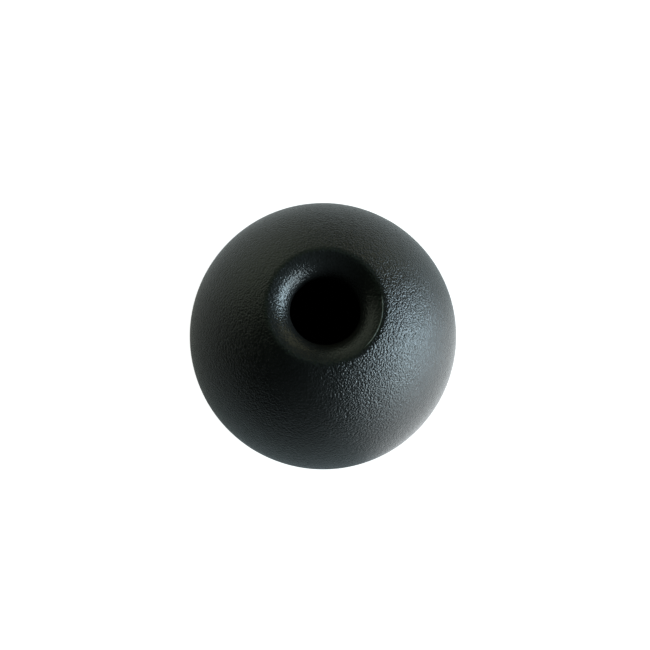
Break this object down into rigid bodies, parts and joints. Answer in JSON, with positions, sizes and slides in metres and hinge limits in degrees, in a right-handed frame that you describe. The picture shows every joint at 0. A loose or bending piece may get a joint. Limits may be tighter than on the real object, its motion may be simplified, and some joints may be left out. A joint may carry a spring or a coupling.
{
  "type": "case opening friction ball",
  "caption": "Palm-sized hollow black rubber ball with a rounded open mouth, pressed on a screwed watch back and turned by hand to grip it by friction.",
  "frame": {"origin": "grip pole: the lowest point of the ball's outside as it stands mouth up, opposite the mouth", "axes": "+Z along the mouth's axis, from the grip pole out through the mouth; X and Y are free, as the ball is round about Z"},
  "size_m": [0.065, 0.065, 0.0621],
  "materials": {
    "moulded_rubber": "black, semi-matt, with a fine moulded grain",
    "rubber_cement": "black cured rubber cement, smooth and a little glossier than the shells"
  },
  "bodies": {
    "root": {"mouth_half_shell": "moulded_rubber", "grip_half_shell": "moulded_rubber", "cement_seam": "rubber_cement"}
  },
  "joints": []
}
